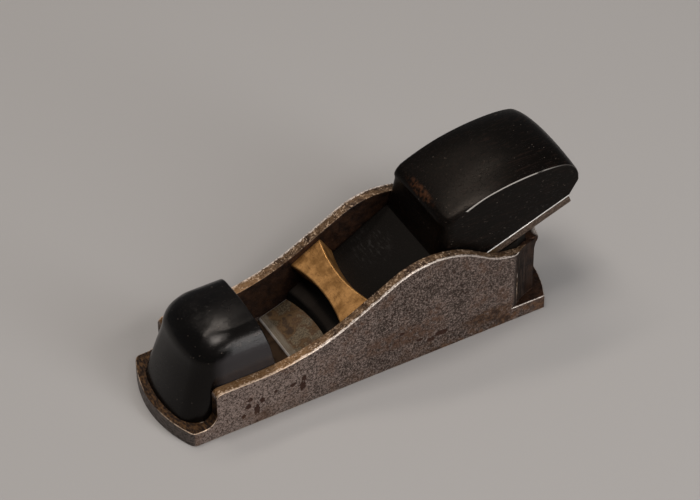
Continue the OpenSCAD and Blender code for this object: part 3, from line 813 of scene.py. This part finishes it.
wedge_side = [(WEDGE_TOE, wedge_low(WEDGE_TOE)), (WEDGE_TOE + TOE_LEAN, wedge_top(WEDGE_TOE + TOE_LEAN))]
wedge_side += [(x, wedge_top(x)) for x in (0.0, 10.0, STEP_X - 0.8, STEP_X)]
wedge_side += [(STEP_X + PALM_LEAN * rise, wedge_top(STEP_X) + rise) for rise in (0.6, 3.0, 6.0, 8.6)]
wedge_side += arc((BROW_X + BROW_R / 3, CROWN_FOOT), BROW_R, 166, 118, 4)
wedge_side += [(x, palm_top(x)) for x in [BROW_X + (APEX_X - BROW_X) * i / TOP_STEPS
                                          for i in range(TOP_STEPS + 1)]]
wedge_side += arc((APEX_X, PALM_H - BACK_R), BACK_R, 87.5, 82.5, 2)
wedge_side += arc(REAR_CENTRE, REAR_R, 80, 0, 8)
wedge_side += arc(HEEL_CENTRE, HEEL_R, -4, -44, 4)
wedge_side += [(x, wedge_low(x)) for x in (IRON_END + 0.2, 40.0, 20.0, 5.0)]
wedge = draw_outline("palm_wedge_of_ebony", [(x, -WEDGE_HALF, z) for x, z in reversed(wedge_side)])
columns = [-WEDGE_HALF * math.cos(math.pi * i / SIDE_STEPS) for i in range(SIDE_STEPS + 1)]
draw_in_front(wedge, -WEDGE_HALF, front_share(-WEDGE_HALF))
pick(wedge, "FACE", lambda corners: True)
for old, new in zip(columns, columns[1:]):
    raise_face((0, new - old, 0))
    draw_in_front(wedge, new, front_share(new) / front_share(old))
    set_across(wedge, new, lambda x, z: z > CROWN_FOOT)
    size_about((0, new, CROWN_FOOT), (1, 1, crown_share(new) / crown_share(old)))
    set_across(wedge, new, lambda x, z: x > REAR_START and z > REAR_FOOT)
    size_about((REAR_START, new, 0), (rear_share(new) / rear_share(old), 1, 1))
    set_across(wedge, new, lambda x, z: x < WEDGE_TOE + TOE_HOLLOW + TOE_LEAN + 0.1)
    bpy.ops.transform.translate(value=((toe_back(new) - toe_back(old)) * MM, 0, 0))
    pick(wedge, "FACE", lambda corners: all(abs(p.y - new) < 0.001 for p in corners))
close_up(wedge)
pick(wedge, "EDGE", on_crease)
bpy.ops.mesh.bevel(offset=CREASE_R * MM, segments=3, clamp_overlap=False, material=1)
mark_worn(wedge)
smooth(wedge, 40)
keep_flats_flat(wedge)

satin_ebony, tree, surface, place, colour = ebony(
    "satin_ebony", lightest=(0.018, 0.01, 0.0075), streak_share=0.6, roughness=0.28, grain_depth=0.03,
    gloss=0.1, tint=(1, 0.86, 0.74))
along, across, up = axes_of(tree, place)
rubbed = both(tree, near_spot(tree, place, *BROW_RUB),
              rising(tree, mottle(tree, place, 0.8, stretch=(3, 1, 1), detail=4, shift=41), 0.4, 0.62))
colour = laid_over(tree, both(tree, rubbed, 0.8), colour, BROW_BROWN)
on_tongue = both(tree, rising(tree, along, STEP_X + 0.6, STEP_X - 0.2), rising(tree, up, 27.5, 26.8))
colour = laid_over(tree, both(tree, on_tongue, 0.8), colour, TONGUE_GREY)
# Painted light: the tongue's toe in front of the bridge is lightened where the bridge and near wall shade
# it.
lit_tongue_toe = both(tree, on_tongue, rising(tree, along, -4.5, -5.5), rising(tree, up, 9.5, 10.0))
colour = laid_over(tree, both(tree, lit_tongue_toe, 0.8), colour, TOE_PAINTED_LIGHT)
scuffs = both(tree, on_tongue, near_spot(tree, place, *TONGUE_SCUFF),
              rising(tree, mottle(tree, place, 0.6, stretch=(1, 4, 1), detail=5, shift=64), 0.5, 0.7))
colour = laid_over(tree, both(tree, scuffs, 0.6), colour, SCUFF_GREY)
# The rubbed crease along each side of the palm is painted pale as a highlight, fading toward the rear.
crease_highlight = both(tree, worn_edges(tree), rising(tree, mottle(tree, place, 3, detail=2, shift=51), 0.3, 0.42),
              rising(tree, along, 57, 44, 0.1, 1))
colour = laid_over(tree, crease_highlight, colour, CREASE_HIGHLIGHT)
put(tree, surface.inputs["Base Color"], colour)
put(tree, surface.inputs["Roughness"], rising(tree, on_tongue, 0, 1, 0.33, 0.45))
wedge.data.materials.append(satin_ebony)
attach(wedge, "wedge")
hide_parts("palm_wedge")

# Bridge
# A bar of brass pinned between the walls, waisted front and back, its underside bearing on the wedge.
# The top is left bare, brushed by years of polishing, with its edges softened.
BRIDGE_HALF = 12.94
BRIDGE_LEN = 9.9
BRIDGE_T = 6.5
BRIDGE_WAIST = 1.9
BRIDGE_X = -3.27
BRIDGE_EDGE_R = 0.5
WAIST_STEPS = 14
bridge_z = wedge_top(BRIDGE_X) + (GAP + BRIDGE_T) / math.cos(math.radians(TOP_TURN))
waist_r = (BRIDGE_HALF ** 2 + BRIDGE_WAIST ** 2) / (2 * BRIDGE_WAIST)
AGED_BRASS = ((0.4, 0.195, 0.06), (0.54, 0.282, 0.098))
BRASS_SPECKLE = (0.22, 0.1, 0.034)
BRUSHED_DIRT = (0.12, 0.055, 0.018)
RUBBED_BRASS = (0.75, 0.44, 0.17)


def waist(y):
    return BRIDGE_WAIST - (waist_r - math.sqrt(waist_r ** 2 - y * y))


waist_places = [BRIDGE_HALF * (2 * i / WAIST_STEPS - 1) for i in range(WAIST_STEPS + 1)]
bridge_plan = [(BRIDGE_LEN / 2 - waist(y), y, 0) for y in waist_places]
bridge_plan += [(waist(y) - BRIDGE_LEN / 2, y, 0) for y in reversed(waist_places)]
bridge = draw_outline("brass_bridge", bridge_plan)
raise_face((0, 0, -BRIDGE_T))
close_up(bridge)
pick(bridge, "EDGE", lambda ends: all(abs(p.z) < 0.001 for p in ends) and abs(ends[0].x - ends[1].x) < 2)
bpy.ops.mesh.bevel(offset=BRIDGE_EDGE_R * MM, segments=3, clamp_overlap=False, material=1)
mark_worn(bridge)
bridge.rotation_euler = (0, -math.radians(TOP_TURN), 0)
bridge.location = (BRIDGE_X * MM, 0, bridge_z * MM)
bpy.ops.object.transform_apply(location=True, rotation=True, scale=True)
smooth(bridge, 35)
keep_flats_flat(bridge)

soft_brass, tree, surface, place = new_finish("soft_brass")
speckle = mottle(tree, place, 0.5, detail=4)
cloud = mottle(tree, place, 3.5, detail=2, shift=12)
brushed = mottle(tree, place, 0.25, stretch=(1, 12, 1), detail=3, shift=7)
colour = laid_over(tree, rising(tree, cloud, 0.36, 0.64), *AGED_BRASS)
colour = laid_over(tree, rising(tree, speckle, 0.5, 0.68, 0, 0.45), colour, BRASS_SPECKLE)
colour = laid_over(tree, rising(tree, brushed, 0.58, 0.72, 0, 0.45), colour, BRUSHED_DIRT)
colour = laid_over(tree, both(tree, worn_edges(tree), 0.1), colour, RUBBED_BRASS)
put(tree, surface.inputs["Base Color"], colour)
put(tree, surface.inputs["Metallic"], 0.85)
put(tree, surface.inputs["Roughness"], rising(tree, cloud, 0.3, 0.7, 0.32, 0.5))
rough_skin(tree, surface, added(tree, both(tree, brushed, 0.6), both(tree, speckle, 0.5)), 0.03)
bridge.data.materials.append(soft_brass)
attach(bridge, "plane_body")
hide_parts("bridge")

# Bridge pins
# Four iron pins driven through the walls into the bridge's ends and filed flush, so they hardly show.
# Their ends have worn and browned with the walls around them.
for side in ("near", "far"):
    for end in ("front", "rear"):
        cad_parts[f"bridge_pin_{side}_{end}"].material_slots[0].material = worn_iron

# Screws
# Slotted wood screws of dark steel, sunk in the sole, that hold the bun and the bed block from below.
# Their countersunk heads are dark and speckled with age.
SCREW_STEEL = ((0.05, 0.042, 0.036), (0.16, 0.14, 0.125))
dark_steel, tree, surface, place = new_finish("dark_steel")
speckle = mottle(tree, place, 0.4, detail=3)
put(tree, surface.inputs["Base Color"], laid_over(tree, rising(tree, speckle, 0.35, 0.65), *SCREW_STEEL))
put(tree, surface.inputs["Metallic"], 0.8)
put(tree, surface.inputs["Roughness"], rising(tree, speckle, 0.3, 0.7, 0.35, 0.55))
rough_skin(tree, surface, speckle, 0.02)
for name in ("bun_screw_front", "bun_screw_rear", "bed_screw_front", "bed_screw_rear"):
    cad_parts[name].material_slots[0].material = dark_steel

# Bench, light and camera
# A plain pale bench top under a broad lamp overhead, with a dim strip of light on the far side,
# and a tall lamp and a high strip of light on the near side.
BENCH_SIZE = 6000
BENCH_DROP = 0.02
PALE_BENCH = (0.345, 0.33, 0.32)
SKY_TONE = (0.95, 0.97, 1.0)
SKY_STRENGTH = 0.16
CAMERA_PLACE = (-264.44, -476.36, 525.20)
CAMERA_RIGHT = (0.87091, -0.49147, -0.00358)
CAMERA_UP = (0.33296, 0.58463, 0.73985)
CAMERA_BACK = (-0.36151, -0.64552, 0.67277)
CAMERA_LENS = 154.32
bpy.ops.mesh.primitive_plane_add(size=BENCH_SIZE * MM, location=(0, 0, -BENCH_DROP * MM))
bench = bpy.context.object
bench.name = "bench"
pale_bench, tree, surface, place = new_finish("pale_bench")
put(tree, surface.inputs["Base Color"], PALE_BENCH)
put(tree, surface.inputs["Roughness"], 0.7)
bench.data.materials.append(pale_bench)

world = bpy.data.worlds.new("studio")
world.use_nodes = True
sky = world.node_tree.nodes["Background"]
sky.inputs["Color"].default_value = (*SKY_TONE, 1)
sky.inputs["Strength"].default_value = SKY_STRENGTH
bpy.context.scene.world = world


def studio_lamp(name, direction, distance, width, depth, power, tone):
    """An oblong lamp that faces the plane from a direction, its distance and size in metres."""
    lamp = bpy.data.lights.new(name, "AREA")
    lamp.shape = "RECTANGLE"
    lamp.size = width
    lamp.size_y = depth
    lamp.energy = power
    lamp.color = tone
    holder = bpy.data.objects.new(name, lamp)
    bpy.context.collection.objects.link(holder)
    holder.location = Vector(direction).normalized() * distance
    holder.rotation_euler = Vector(direction).to_track_quat("Z", "Y").to_euler()


studio_lamp("overhead_lamp", direction=(-0.15, 0.05, 0.98), distance=0.9, width=0.32, depth=0.28, power=3.6,
            tone=(1.0, 0.95, 0.9))
studio_lamp("far_lamp", direction=(-0.04, 0.47, 0.88), distance=0.9, width=0.54, depth=0.1, power=1.4,
            tone=(1.0, 0.92, 0.84))
studio_lamp("near_lamp", direction=(0.38, -0.84, 0.4), distance=1.0, width=0.26, depth=0.75, power=5.0,
            tone=(0.96, 0.98, 1.0))
studio_lamp("near_high_lamp", direction=(0.16, -0.62, 0.75), distance=1.0, width=0.6, depth=0.13, power=2.6,
            tone=(1.0, 0.96, 0.94))

# The camera looks down over the toe and the near side, from where the photograph was taken.
camera = bpy.data.objects.new("camera", bpy.data.cameras.new("camera"))
bpy.context.collection.objects.link(camera)
camera_turn = Matrix((CAMERA_RIGHT, CAMERA_UP, CAMERA_BACK)).transposed().to_4x4()
camera.matrix_world = Matrix.Translation(Vector(CAMERA_PLACE) * MM) @ camera_turn
camera.data.sensor_width = 36
camera.data.lens = CAMERA_LENS
camera.data.clip_start = 0.01
camera.data.clip_end = 20
bpy.context.scene.camera = camera
bpy.context.scene.view_settings.view_transform = "Standard"
